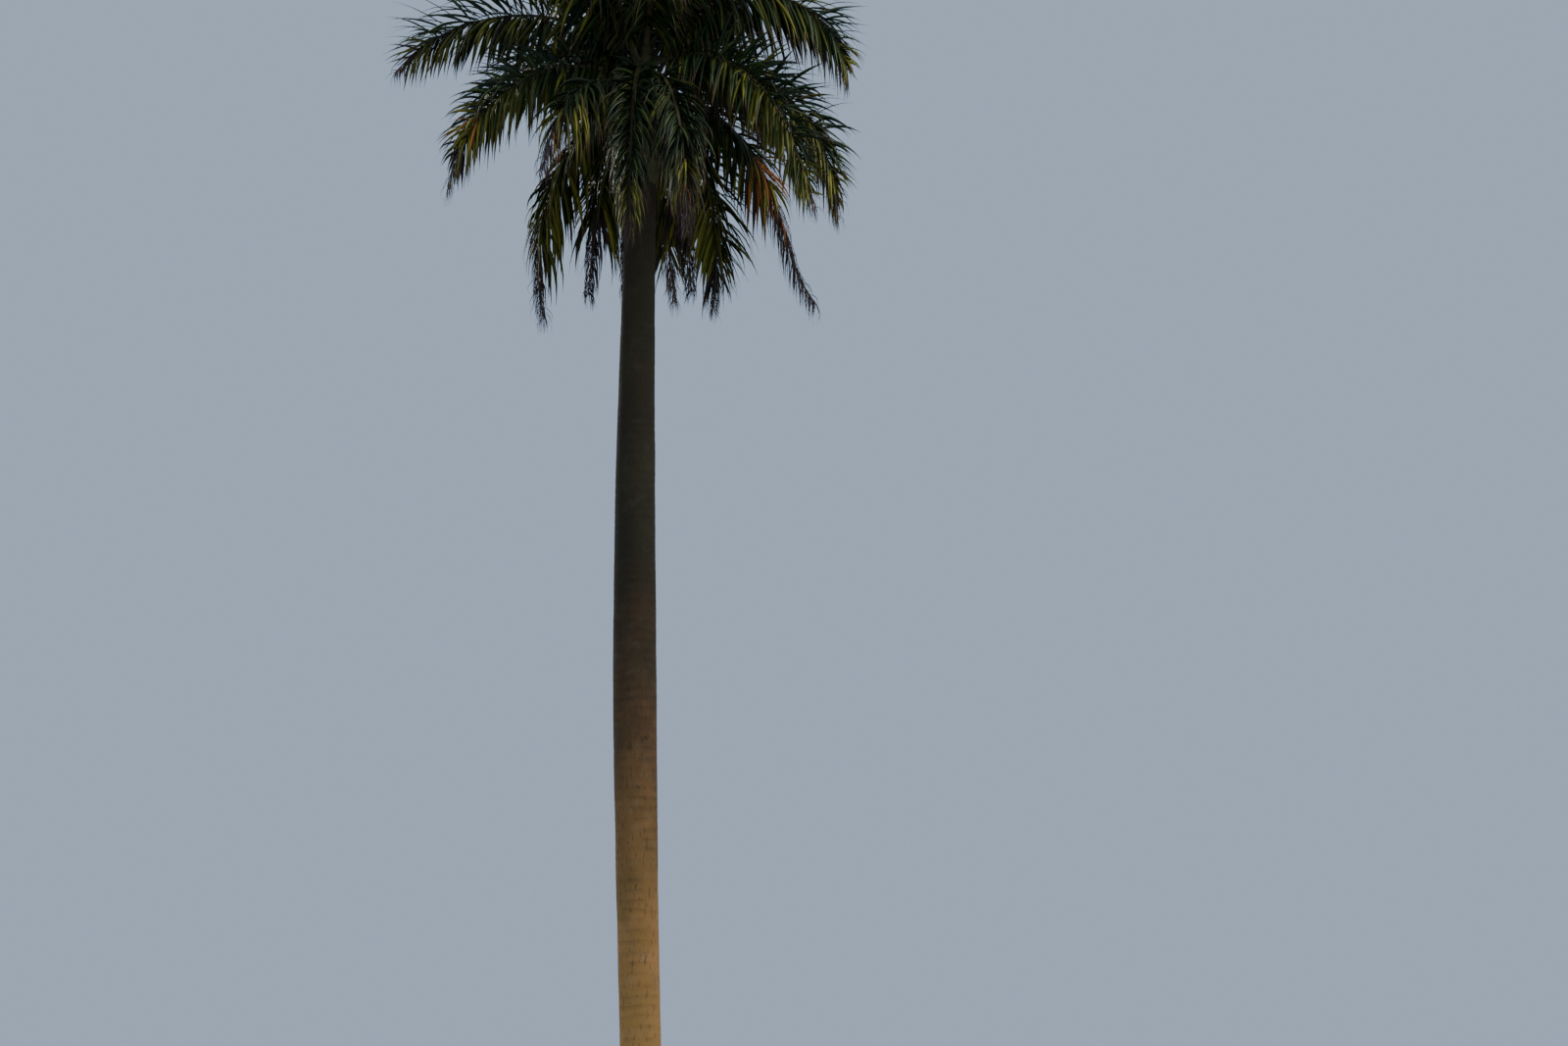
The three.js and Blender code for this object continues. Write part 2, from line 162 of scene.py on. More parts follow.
# Leaflets of the finished crown. They stand in clusters on each side of the rib, with one
# leaflet to a rank. A rank has its lift over the rib's side and its further lean from the rib,
# in degrees, its shares of the droop, of the length and of the breadth, and how much its
# lengths differ along the rib.
CLUSTER_SPACING = 0.08
LEAFLET_BREADTH = 0.062
LEAFLET_THICKNESS = 0.0024
LEAFLET_SEGMENTS = 7
LEAFLET_FOLD = 0.42
ROOT_THICKNESS, END_THICKNESS = 0.6, 0.2  # shares of the thickness, along the leaflet
LEAFLET_DIFFERENCE = 17.0  # how much the wavering differs between leaflets a metre apart
RANKS = (
    (-26, 0, 2.5, 1.0, 1.0, 0.7),
    (0, 0, 1.9, 0.95, 1.0, 0.7),
    (34, 4, 0.6, 0.82, 0.9, 1.4),
    (62, 12, 0.15, 0.8, 0.75, 1.4),
)
LIMP_HANG = 1.6
DRY_HANG = 1.3
DRY_BREADTH = 0.34
TOP_RANKS = 2  # from this rank on, the leaflets are the crest

UP = np.array((0.0, 0.0, 1.0))


def mix(start, end, share):
    return start + (end - start) * share


def ease(value, low, high):
    share = np.clip((value - low) / (high - low), 0, 1)
    return share * share * (3 - 2 * share)


def unit(vectors):
    return vectors / np.maximum(np.linalg.norm(vectors, axis=-1, keepdims=True), 1e-9)


def new_object(name, data):
    """A new object, placed in the scene's collection."""
    made = bpy.data.objects.new(name, data)
    bpy.context.scene.collection.objects.link(made)
    return made


# The view

def make_camera():
    """A camera where the photographer stood, looking up at the crown."""
    ahead = Vector(
        (math.sin(YAW) * math.cos(PITCH), math.cos(YAW) * math.cos(PITCH), math.sin(PITCH))
    )
    level = Vector((math.cos(YAW), -math.sin(YAW), 0))
    over = level.cross(ahead)
    right = level * math.cos(ROLL) + over * math.sin(ROLL)
    over = over * math.cos(ROLL) - level * math.sin(ROLL)
    data = bpy.data.cameras.new("camera")
    data.sensor_width = SENSOR_WIDTH
    data.lens = FOCAL_PIXELS / IMAGE_WIDTH * SENSOR_WIDTH
    data.clip_start = 0.1
    data.clip_end = 500
    camera = new_object("camera", data)
    turn = Matrix((right, over, -ahead)).transposed()
    camera.matrix_world = Matrix.Translation(EYE) @ turn.to_4x4()
    bpy.context.scene.camera = camera


def make_floor():
    """A wide pale floor, which isn't part of the palm."""
    paint = bpy.data.materials.new("floor_paint")
    paint.use_nodes = True
    surface = paint.node_tree.nodes["Principled BSDF"]
    surface.inputs["Base Color"].default_value = FLOOR_COLOUR
    surface.inputs["Roughness"].default_value = 0.9
    mesh = bpy.data.meshes.new("floor")
    half = FLOOR_WIDTH / 2
    corners = [(-half, -half, 0), (half, -half, 0), (half, half, 0), (-half, half, 0)]
    mesh.from_pydata(corners, [], [(0, 1, 2, 3)])
    mesh.materials.append(paint)
    new_object("floor", mesh)


def make_light():
    """Soft light from the whole surroundings, with a broad lamp high in front on the right
    and a fainter one behind on the left."""
    world = bpy.data.worlds.new("studio")
    world.use_nodes = True
    backdrop = world.node_tree.nodes["Background"]
    backdrop.inputs["Color"].default_value = SKY_COLOUR
    backdrop.inputs["Strength"].default_value = SKY_STRENGTH
    bpy.context.scene.world = world
    for name, (place, energy, size) in LAMPS.items():
        lamp = bpy.data.lights.new(name, "AREA")
        lamp.energy = energy
        lamp.size = size
        lamp.color = LAMP_COLOUR
        holder = new_object(name, lamp)
        holder.location = place
        holder.visible_camera = False
        aim = Vector(LAMP_AIM) - Vector(place)
        holder.rotation_euler = aim.to_track_quat("-Z", "Y").to_euler()


# Node trees

class Tree:
    """A node tree being built, with short calls for its nodes and links."""

    def __init__(self, tree):
        self.tree = tree

    def put(self, socket, value):
        """Links an output socket to an input, or sets the input to a plain value."""
        if isinstance(value, bpy.types.NodeSocket):
            self.tree.links.new(value, socket)
        else:
            socket.default_value = value

    def node(self, kind, inputs=None, **settings):
        made = self.tree.nodes.new(kind)
        for name, value in settings.items():
            setattr(made, name, value)
        for name, value in (inputs or {}).items():
            self.put(made.inputs[name], value)
        return made

    def math(self, operation, *values):
        made = self.node("ShaderNodeMath", operation=operation)
        for socket, value in zip(made.inputs, values):
            self.put(socket, value)
        return made.outputs[0]

    def times(self, first, second):
        return self.math("MULTIPLY", first, second)

    def plus(self, first, second):
        return self.math("ADD", first, second)

    def minus(self, first, second):
        return self.math("SUBTRACT", first, second)

    def ratio(self, first, second):
        return self.math("DIVIDE", first, second)

    def vector(self, operation, *values):
        made = self.node("ShaderNodeVectorMath", operation=operation)
        for socket, value in zip(made.inputs, values):
            self.put(socket, value)
        return made.outputs["Value" if operation == "DOT_PRODUCT" else "Vector"]

    def scaled(self, vector, amount):
        made = self.node("ShaderNodeVectorMath", operation="SCALE")
        self.put(made.inputs[0], vector)
        self.put(made.inputs["Scale"], amount)
        return made.outputs["Vector"]

    def combine(self, x, y, z):
        return self.node("ShaderNodeCombineXYZ", {"X": x, "Y": y, "Z": z}).outputs[0]

    def split(self, vector):
        return self.node("ShaderNodeSeparateXYZ", {"Vector": vector}).outputs

    def noise(self, vector, scale, detail, roughness=0.5):
        made = self.node(
            "ShaderNodeTexNoise",
            {"Vector": vector, "Scale": scale, "Detail": detail, "Roughness": roughness},
        )
        return made.outputs[0]

    def span(self, value, low, high, to_low=0.0, to_high=1.0, smooth=False):
        """The value's place between low and high, carried to a place between the other two."""
        made = self.node("ShaderNodeMapRange", {"Value": value, "From Min": low, "From Max": high})
        made.inputs["To Min"].default_value = to_low
        made.inputs["To Max"].default_value = to_high
        if smooth:
            made.interpolation_type = "SMOOTHSTEP"
        return made.outputs["Result"]

    def curve(self, value, points):
        """A smooth curve through the points, which stay inside 0 to 1 each way."""
        made = self.node("ShaderNodeFloatCurve", {"Value": value})
        line = made.mapping.curves[0]
        while len(line.points) < len(points):
            line.points.new(0.5, 0.5)
        for knot, place in zip(line.points, points):
            knot.location = place
        made.mapping.update()
        return made.outputs["Value"]

    def blend(self, share, first, second):
        """The mix of two colours, each another node's or plain red, green and blue."""
        made = self.node("ShaderNodeMix", data_type="RGBA")
        self.put(made.inputs["Factor"], share)
        for socket, colour in zip(made.inputs[6:8], (first, second)):
            self.put(socket, (*colour, 1) if isinstance(colour, tuple) else colour)
        return made.outputs[2]

    def attribute(self, name, kind="FLOAT"):
        """A named attribute of the geometry, in a Geometry Nodes tree."""
        made = self.node("GeometryNodeInputNamedAttribute", {"Name": name}, data_type=kind)
        return made.outputs["Attribute"]

    def keep(self, geometry, name, value, kind="FLOAT"):
        """Stores a value on the points of the geometry."""
        made = self.node(
            "GeometryNodeStoreNamedAttribute",
            {"Geometry": geometry, "Name": name, "Value": value},
            data_type=kind,
            domain="POINT",
        )
        return made.outputs[0]


def group(name, kind, inputs, outputs):
    """A node group with named sockets. Returns it with its input node's outputs and its
    output node."""
    tree = bpy.data.node_groups.new(name, kind)
    for label, socket, value in inputs:
        made = tree.interface.new_socket(label, in_out="INPUT", socket_type=socket)
        if value is not None:
            made.default_value = value
    for label, socket in outputs:
        tree.interface.new_socket(label, in_out="OUTPUT", socket_type=socket)
    build = Tree(tree)
    given = build.node("NodeGroupInput").outputs
    result = build.node("NodeGroupOutput")
    return tree, build, given, result


def coat(build, geometry, given, result):
    """Ends a Geometry Nodes tree: real geometry, in the material of its Material input."""
    real = build.node("GeometryNodeRealizeInstances", {"Geometry": geometry}).outputs[0]
    coated = build.node("GeometryNodeSetMaterial", {"Geometry": real})
    build.put(coated.inputs["Material"], given["Material"])
    build.put(result.inputs["Geometry"], coated.outputs[0])


def grow(name, mesh, tree, values):
    """Runs a Geometry Nodes tree on a mesh with named input values, and returns the result as
    an object with a plain mesh."""
    source = new_object(name + "_source", mesh)
    modifier = source.modifiers.new("grow", "NODES")
    modifier.node_group = tree
    for item in tree.interface.items_tree:
        if item.item_type == "SOCKET" and item.in_out == "INPUT" and item.name in values:
            modifier[item.identifier] = values[item.name]
    shaped = source.evaluated_get(bpy.context.evaluated_depsgraph_get())
    made = bpy.data.meshes.new_from_object(shaped)
    bpy.data.objects.remove(source)
    made.name = name
    return new_object(name, made)


def finish_piece(piece, nodes):
    """Seats a finished piece on the palm's one body, in place of the CAD nodes it stands for."""
    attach(piece, "root")
    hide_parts(*nodes)


def mesh_piece(name, points, faces, material):
    mesh = bpy.data.meshes.new(name)
    mesh.from_pydata(points.tolist(), [], faces)
    mesh.materials.append(material)
    mesh.validate()
    mesh.shade_smooth()
    return new_object(name, mesh)


def store(mesh, name, values):
    """Puts an attribute on a mesh's points: one number each, or one vector each."""
    if values.ndim == 1:
        layer = mesh.attributes.new(name, "FLOAT", "POINT")
        layer.data.foreach_set("value", values.astype(np.float32))
    else:
        layer = mesh.attributes.new(name, "FLOAT_VECTOR", "POINT")
        layer.data.foreach_set("vector", values.astype(np.float32).ravel())


def tube_faces(sides, rows, start, end):
    """Quads round a tube of rows of points, and triangles that close it to the points
    numbered start and end."""
    faces = []
    for row in range(rows - 1):
        low, high = row * sides, (row + 1) * sides
        for i in range(sides):
            j = (i + 1) % sides
            faces.append((low + i, low + j, high + j, high + i))
    last = (rows - 1) * sides
    for i in range(sides):
        j = (i + 1) % sides
        faces.append((j, i, start))
        faces.append((last + i, last + j, end))
    return faces


def column_mesh(angle, height, reach):
    """Points and faces of a closed column round the trunk's centre line."""
    points = np.stack(
        (column_offset(height) + reach * np.cos(angle), reach * np.sin(angle), height), axis=-1
    ).reshape(-1, 3)
    ends = np.array([[column_offset(h), 0.0, h] for h in (height[0, 0], height[-1, 0])])
    rows, sides = angle.shape
    return np.vstack((points, ends)), tube_faces(sides, rows, len(points), len(points) + 1)


# Shader groups and materials

def mottle_group():
    """Cloudy patches and fine streaks along Z, from the object's own coordinates."""
    tree, build, given, result = group(
        "mottle",
        "ShaderNodeTree",
        [
            ("Patch Scale", "NodeSocketFloat", 2.0),
            ("Streak Scale", "NodeSocketFloat", 60.0),
            ("Stretch", "NodeSocketFloat", 0.1),
        ],
        [("Patches", "NodeSocketFloat"), ("Streaks", "NodeSocketFloat")],
    )
    place = build.node("ShaderNodeTexCoord").outputs["Object"]
    x, y, z = build.split(place)
    drawn = build.combine(x, y, build.times(z, given["Stretch"]))
    patches = build.noise(place, given["Patch Scale"], 4.0, 0.6)
    streaks = build.noise(drawn, given["Streak Scale"], 3.0, 0.6)
    build.put(result.inputs["Patches"], build.span(patches, 0.35, 0.65))
    build.put(result.inputs["Streaks"], build.span(streaks, 0.3, 0.7))
    return tree


class Finish(Tree):
    """A material being built, with the patches and streaks that its colours are mixed by."""

    def __init__(self, name, mottle, patch_scale, streak_scale, stretch):
        self.material = bpy.data.materials.new(name)
        self.material.use_nodes = True
        super().__init__(self.material.node_tree)
        marks = self.node("ShaderNodeGroup", node_tree=mottle)
        marks.inputs["Patch Scale"].default_value = patch_scale
        marks.inputs["Streak Scale"].default_value = streak_scale
        marks.inputs["Stretch"].default_value = stretch
        self.patches = marks.outputs["Patches"]
        self.streaks = marks.outputs["Streaks"]

    def mark(self, name, output="Fac"):
        """A named attribute of the finished mesh."""
        return self.node("ShaderNodeAttribute", attribute_name=name).outputs[output]

    def surface(self, tone, roughness, relief, depth, strength, specular=0.3):
        """Ends the material with its colour, its roughness and a bump of some depth."""
        shader = self.tree.nodes["Principled BSDF"]
        self.put(shader.inputs["Base Color"], tone)
        self.put(shader.inputs["Roughness"], roughness)
        shader.inputs["Specular IOR Level"].default_value = specular
        bump = self.node("ShaderNodeBump", {"Height": relief})
        bump.inputs["Distance"].default_value = depth
        bump.inputs["Strength"].default_value = strength
        self.put(shader.inputs["Normal"], bump.outputs["Normal"])
        return self.material


# The bark's tones from the ground up, each between two colours of patches: grey brown, ochre,
# brown and dark olive grey. The warm ochre low down is painted glare of the low sun, and the
# darkening through brown to dark olive grey above it is painted shade under the crown. Between
# two heights each gives way to the next, smoothly or evenly.
BARK_TONES_AND_PAINTED_LIGHT = (
    ((0.17, 0.115, 0.068), (0.2, 0.14, 0.075)),
    ((0.4, 0.205, 0.068), (0.35, 0.2, 0.058)),
    ((0.09, 0.046, 0.02), (0.1, 0.06, 0.026)),
    ((0.023, 0.017, 0.008), (0.035, 0.029, 0.015)),
)
BARK_PAINTED_LIGHT_CHANGES = ((0.2, 2.8, True), (3.4, 6.4, False), (5.9, 8.3, True))
BARK_DRIFT = 0.9  # how far the patches carry those heights up and down in all
# The lichen's colour goes from pale low down to dark high up, with the same painted glare and shade.
LOW_LICHEN, HIGH_LICHEN = (0.3, 0.25, 0.15), (0.075, 0.07, 0.047)
LICHEN_CHANGE = (4.0, 8.0)
LICHEN_SHARE = 0.2  # how much of the lichen's colour a spot has at most
FISSURE_COLOUR, SCAR_COLOUR = (0.035, 0.025, 0.016), (0.024, 0.018, 0.012)


def bark_material(mottle):
    """Bark with faint scars, short fissures and a little lichen, over tones that change with
    height: a grey brown foot, then ochre, which is painted glare of the low sun, then brown and a
    dark olive grey from the middle up, which are painted shade under the crown."""
    build = Finish("trunk_bark", mottle, patch_scale=1.7, streak_scale=46.0, stretch=0.2)
    place = build.node("ShaderNodeTexCoord").outputs["Object"]
    drift = build.times(build.minus(build.patches, 0.5), BARK_DRIFT)
    level = build.plus(build.split(place)[2], drift)
    # Painted light by height: glare of the low sun on the lower trunk, shade under the crown above.
    tone = build.blend(build.patches, *BARK_TONES_AND_PAINTED_LIGHT[0])
    for pair, (low, high, smooth) in zip(BARK_TONES_AND_PAINTED_LIGHT[1:], BARK_PAINTED_LIGHT_CHANGES):
        change = build.span(level, low, high, smooth=smooth)
        tone = build.blend(change, tone, build.blend(build.patches, *pair))
    lichen = build.blend(build.span(level, *LICHEN_CHANGE), LOW_LICHEN, HIGH_LICHEN)
    cloud = build.noise(place, 7.0, 5.0, 0.65)
    spots = build.span(cloud, 0.52, 0.7, 0.0, LICHEN_SHARE, smooth=True)
    tone = build.blend(spots, tone, lichen)
    fissures = build.span(build.streaks, 0.72, 0.98, smooth=True)
    tone = build.blend(build.times(fissures, 0.45), tone, FISSURE_COLOUR)
    tone = build.blend(build.times(build.mark("scar"), 0.3), tone, SCAR_COLOUR)
    roughness = build.span(build.patches, 0, 1, 0.75, 0.9)
    grain = build.noise(place, 130.0, 4.0, 0.7)
    relief = build.minus(build.times(grain, 0.7), fissures)
    return build.surface(tone, roughness, relief, depth=0.006, strength=0.7, specular=0.2)


def sheath_material(mottle):
    """Olive leaf bases with lengthwise fibres, browner with age and dry along their edges."""
    build = Finish("leaf_sheath", mottle, patch_scale=5.0, streak_scale=160.0, stretch=0.03)
    tone = build.blend(build.patches, (0.06, 0.066, 0.022), (0.09, 0.094, 0.034))
    tone = build.blend(build.mark("worn"), tone, (0.085, 0.058, 0.032))
    tone = build.blend(build.times(build.streaks, 0.5), tone, (0.06, 0.05, 0.022))
    tone = build.blend(build.mark("margin"), tone, (0.09, 0.058, 0.034))
    roughness = build.span(build.streaks, 0, 1, 0.5, 0.8)
    return build.surface(tone, roughness, build.streaks, depth=0.003, strength=0.7)


def rib_material(mottle):
    """A yellow-green rib, darkened to an olive as painted shade under the crown, that turns brown where
    its frond has withered.
    """
    build = Finish("frond_rib", mottle, patch_scale=6.0, streak_scale=120.0, stretch=0.5)
    # The rib's dark olive is painted shade under the crown.
    tone = build.blend(build.patches, (0.035, 0.033, 0.011), (0.065, 0.057, 0.018))
    tone = build.blend(build.mark("dry"), tone, (0.085, 0.05, 0.032))
    tone = build.blend(build.times(build.streaks, 0.3), tone, (0.05, 0.035, 0.02))
    roughness = build.span(build.streaks, 0, 1, 0.42, 0.6)
    return build.surface(tone, roughness, build.streaks, depth=0.0015, strength=0.5)


def spear_material(mottle):
    """Pale green, folded leaf tissue with lengthwise streaks."""
    build = Finish("leaf_spear", mottle, patch_scale=3.0, streak_scale=140.0, stretch=0.04)
    tone = build.blend(build.patches, (0.1, 0.13, 0.028), (0.065, 0.095, 0.02))
    tone = build.blend(build.times(build.streaks, 0.4), tone, (0.04, 0.05, 0.012))
    roughness = build.span(build.streaks, 0, 1, 0.4, 0.6)
    return build.surface(tone, roughness, build.streaks, depth=0.002, strength=0.6, specular=0.5)


LEAF_TIP_COLOUR = (0.1, 0.05, 0.03)
LEAF_EDGE = 0.45  # how far the edges turn dusky
DUSKY = 0.35  # the edges' colour, as a share of the deeper one
PALE = 1.7  # the midrib's colour, as a share of the other one


def leaf_material(name, mottle, colour, deep, roughness):
    """A leaf tissue: one colour, deeper in patches, with a pale midrib, dusky edges and a dry
    tip. The blade attribute holds the place across the blade and along it."""
    build = Finish(name, mottle, patch_scale=3.0, streak_scale=220.0, stretch=0.35)
    across, _, along = build.split(build.mark("blade", "Vector"))
    across = build.math("ABSOLUTE", across)
    tone = build.blend(build.patches, colour, deep)
    edges = build.times(build.span(across, 0.55, 1.0, smooth=True), LEAF_EDGE)
    tone = build.blend(edges, tone, tuple(DUSKY * part for part in deep))
    midrib = build.times(build.span(across, 0.0, 0.12, 0.55, 0.0), build.span(along, 0.9, 0.3))
    tone = build.blend(midrib, tone, tuple(min(1, PALE * part) for part in colour))
    tone = build.blend(build.span(along, 0.62, 1.0, smooth=True), tone, LEAF_TIP_COLOUR)
    rough = build.span(build.streaks, 0, 1, roughness, roughness + 0.15)
    return build.surface(tone, rough, build.streaks, depth=0.0008, strength=0.4)


# Trunk

def column_offset(height):
    """How far the trunk's centre line stands from the Z axis, along X."""
    return -BOW * np.sin(np.pi * height / SHEATH_TOP)


def sheath_width(height):
    share = (height - SHEATH_FOOT) / (SHEATH_TOP - SHEATH_FOOT)
    bulge = SHEATH_BULGE * np.sin(np.pi * np.clip(share / BULGE_SHARE, 0, 1)) ** 2
    return mix(SHEATH_FOOT_WIDTH, SHEATH_TOP_WIDTH, ease(share, *SHEATH_TAPER)) + bulge


def trunk_tree():
    """A ringed column: a cylinder whose rows are moved to the taper, the bow and the scars."""
    tree, build, given, result = group(
        "ringed_trunk",
        "GeometryNodeTree",
        [
            ("Geometry", "NodeSocketGeometry", None),
            ("Height", "NodeSocketFloat", SHEATH_FOOT),
            ("Waist", "NodeSocketFloat", WAIST),
            ("Swell", "NodeSocketFloat", SWELL),
            ("Flare", "NodeSocketFloat", FLARE),
            ("Neck Loss", "NodeSocketFloat", NECK_LOSS),
            ("Bow", "NodeSocketFloat", BOW),
            ("Rings", "NodeSocketInt", RING_COUNT),
            ("Sides", "NodeSocketInt", TRUNK_SIDES),
            ("Scar Depth", "NodeSocketFloat", SCAR_DEPTH),
            ("Wander", "NodeSocketFloat", RING_WANDER),
            ("Material", "NodeSocketMaterial", None),
        ],
        [("Geometry", "NodeSocketGeometry")],
    )
    rows = build.times(given["Rings"], ROWS_PER_RING)
    drum = build.node(
        "GeometryNodeMeshCylinder",
        {"Vertices": given["Sides"], "Side Segments": rows, "Radius": 1.0, "Depth": 1.0},
        fill_type="TRIANGLE_FAN",
    ).outputs["Mesh"]
    x, y, z = build.split(build.node("GeometryNodeInputPosition").outputs[0])
    share = build.plus(z, 0.5)
    step = build.math("ROUND", build.times(share, rows))
    phase = build.math("FRACT", build.ratio(build.plus(step, 0.5), ROWS_PER_RING))

    # A scar is a narrow groove with a lip over it, and the rows gather round it.
    groove = build.span(phase, 0.0, SCAR_END, 1.0, 0.0, smooth=True)
    lip = build.times(groove, build.span(phase, LIP_START, LIP_END))
    drift = build.times(step, RING_DRIFT / ROWS_PER_RING)
    around = build.combine(build.times(x, 0.7), build.times(y, 0.7), drift)
    tilt = build.minus(build.noise(around, 0.9, 1.0), 0.5)
    gather = build.times(build.minus(phase, 0.5), -RING_GATHER)
    inside = build.times(
        build.span(share, 0.0, LEVEL_END), build.span(share, 1 - LEVEL_END, 1.0, 1.0, 0.0)
    )
    shift = build.plus(build.times(tilt, given["Wander"]), gather)
    rise = build.plus(build.times(share, given["Height"]), build.times(shift, inside))

    # The girth at that height
    away = build.ratio(build.minus(rise, SWELL_HEIGHT), SWELL_SPREAD)
    bell = build.math("EXPONENT", build.times(build.times(away, away), -1.0))
    girth = build.plus(given["Waist"], build.times(given["Swell"], bell))
    foot = build.math("EXPONENT", build.ratio(rise, -FLARE_HEIGHT))
    girth = build.plus(girth, build.times(given["Flare"], foot))
    neck = build.span(rise, NECK_START, SHEATH_FOOT, smooth=True)
    girth = build.minus(girth, build.times(given["Neck Loss"], neck))

    # Lumps, fluting near the foot, and the scars, which fade out in places
    along = build.combine(build.times(x, 0.5), build.times(y, 0.5), rise)
    lump = build.minus(build.noise(along, 1.6, 3.0), 0.5)
    fade = build.span(build.noise(along, 2.3, 1.0), 0.4, 0.62, 0.1, 1.0)
    scar = build.times(groove, fade)
    flute = build.minus(build.noise(build.combine(x, y, 0.0), 2.2, 2.0), 0.5)
    reach = build.times(girth, 0.5)
    reach = build.plus(reach, build.times(lump, LUMP_REACH))
    reach = build.plus(reach, build.times(build.times(flute, foot), FLUTE_REACH))
    reach = build.minus(reach, build.times(scar, given["Scar Depth"]))
    reach = build.plus(reach, build.times(build.times(lip, fade), SCAR_LIP))

    # The caps' middle points have no radius, and every other point lies on the unit circle.
    turn = build.ratio(build.times(rise, math.pi), SHEATH_TOP)
    offset = build.times(build.math("SINE", turn), given["Bow"])
    placed = build.combine(
        build.minus(build.times(x, reach), offset), build.times(y, reach), rise
    )
    kept = build.keep(drum, "scar", build.times(scar, inside))
    moved = build.node("GeometryNodeSetPosition", {"Geometry": kept, "Position": placed}).outputs[0]
    coat(build, moved, given, result)
    return tree


def make_trunk(mottle):
    nothing = bpy.data.meshes.new("empty")
    piece = grow("trunk_bark", nothing, trunk_tree(), {"Material": bark_material(mottle)})
    piece.data.shade_smooth()
    finish_piece(piece, ["trunk"])


# Fronds: their rule, as in the solids

def habit(index):
    """One frond's habit, from its place in the order of age."""
    age = 1 - index / (FROND_COUNT - 1)
    made = dict(
        aside=0,
        length=mix(3.4, 3.3, age),
        rise=mix(80, -12, age),
        turn=mix(78, 92, float(ease(age, 0, 0.35))),
        bend=mix(1.3, 0.8, age),
        withered=0.08,
        age=age,
        droop=mix(YOUNG_DROOP, OLD_DROOP, age),
        limp=float(ease(age, 0.45, 1.0)) * 0.75,
        yellow=age,
        crest=1.0,
        fringe=1.0,
        flick=0.0,
    )
    made.update(SEEN.get(index, {}))
    made["azimuth"] = math.radians(FIRST_AZIMUTH + GOLDEN_ANGLE * index + made["aside"])
    made["seat"] = LOWEST_SEAT + SEAT_STEP * index
    return made


def rib_line(frond):
    """Points, tangents and upper normals along a frond's rib, from seat to tip."""
    outward = np.array((math.cos(frond["azimuth"]), math.sin(frond["azimuth"]), 0.0))
    side = np.cross(outward, UP)
    shares = np.linspace(0, 1, RIB_STEPS + 1)
    middles = (shares[1:] + shares[:-1]) / 2

    def along(at):
        bent = frond["rise"] - frond["turn"] * at ** frond["bend"]
        slope = np.radians(bent + frond["flick"] * at ** FLICK_POWER)
        return np.cos(slope)[:, None] * outward + np.sin(slope)[:, None] * UP

    seat = np.array((column_offset(frond["seat"]), 0.0, frond["seat"]))
    start = seat + outward * float(sheath_width(frond["seat"] - SEAT_THICKNESS / 2)) / 2
    strides = along(middles) * frond["length"] / RIB_STEPS
    points = start + np.vstack((np.zeros(3), np.cumsum(strides, axis=0)))
    tangents = along(shares)
    normals = np.cross(np.broadcast_to(side, tangents.shape), tangents)
    return dict(shares=shares, points=points, tangents=tangents, normals=normals, side=side)


def at_share(line, key, shares):
    """The line's points, tangents or normals at some shares of its length."""
    return np.stack([np.interp(shares, line["shares"], line[key][:, i]) for i in range(3)], axis=1)


# Half of a rib's outline, as shares of its half width and half thickness, from the keel up
# to the channel on top. The channel fills up towards the tip.
RIB_SIDE = (
    (0.0, -1.0), (0.62, -0.78), (1.0, -0.1), (0.92, 0.62), (0.6, 0.95), (0.3, 0.72), (0.0, 0.55)
)
CHANNEL_END = 0.35  # the share of the rib where the channel is full
CHANNEL_FULL = 0.95  # how high it is filled
RIB_POINT = 0.03  # how far the rib's point lies beyond its last ring
DRY_BEFORE, DRY_AFTER = 0.12, 0.03  # where the rib turns brown, round the start of its dry end

# A rib's broad base, as two rings: how far each lies below the seat and inwards from it, and
# its half width and half thickness
RIB_BASE = ((0.05, 0.05, 0.08, 0.05), (0.012, 0.006, 0.062, 0.034))


def rib_mesh(frond, line):
    """Points, faces and dryness of one rib, which starts inside the sheath as a broad base."""
    half = np.array(RIB_SIDE)
    outline = np.vstack((half, half[-2:0:-1] * (-1, 1)))
    across, level = outline[:, :1], outline[:, 1:]
    outward = np.cross(UP, line["side"])
    rings = []
    for below, inwards, half_width, half_thickness in RIB_BASE:
        middle = line["points"][0] - UP * below - outward * inwards
        rings.append(middle + across * half_width * line["side"] + level * half_thickness * UP)
    shares = line["shares"]
    width = mix(SEAT_WIDTH, TIP_WIDTH, shares ** WIDTH_TAPER) / 2
    thickness = mix(SEAT_THICKNESS, TIP_THICKNESS, shares ** THICKNESS_TAPER) / 2
    for i in range(1, len(shares)):
        filling = min(1, shares[i] / CHANNEL_END)
        filled = np.where(level > 0.5, mix(level, CHANNEL_FULL, filling), level)
        rings.append(
            line["points"][i]
            + across * width[i] * line["side"]
            + filled * thickness[i] * line["normals"][i]
        )
    tip = line["points"][-1] + line["tangents"][-1] * RIB_POINT
    points = np.vstack(rings + [tip[None], rings[0].mean(axis=0)[None]])
    faces = tube_faces(len(outline), len(rings), len(points) - 1, len(points) - 2)
    border = 1 - frond["withered"]
    ring_shares = np.concatenate(([0.0], shares))
    dryness = np.repeat(ease(ring_shares, border - DRY_BEFORE, border + DRY_AFTER), len(outline))
    return points, faces, np.append(dryness, (1.0, 0.0))


def make_ribs(fronds, mottle, nodes):
    points, faces, dryness, start = [], [], [], 0
    for frond, line in fronds:
        some_points, some_faces, some_dryness = rib_mesh(frond, line)
        points.append(some_points)
        faces.extend(tuple(corner + start for corner in face) for face in some_faces)
        dryness.append(some_dryness)
        start += len(some_points)
    piece = mesh_piece("frond_ribs", np.vstack(points), faces, rib_material(mottle))
    store(piece.data, "dry", np.concatenate(dryness))
    finish_piece(piece, nodes)


# Leaflets

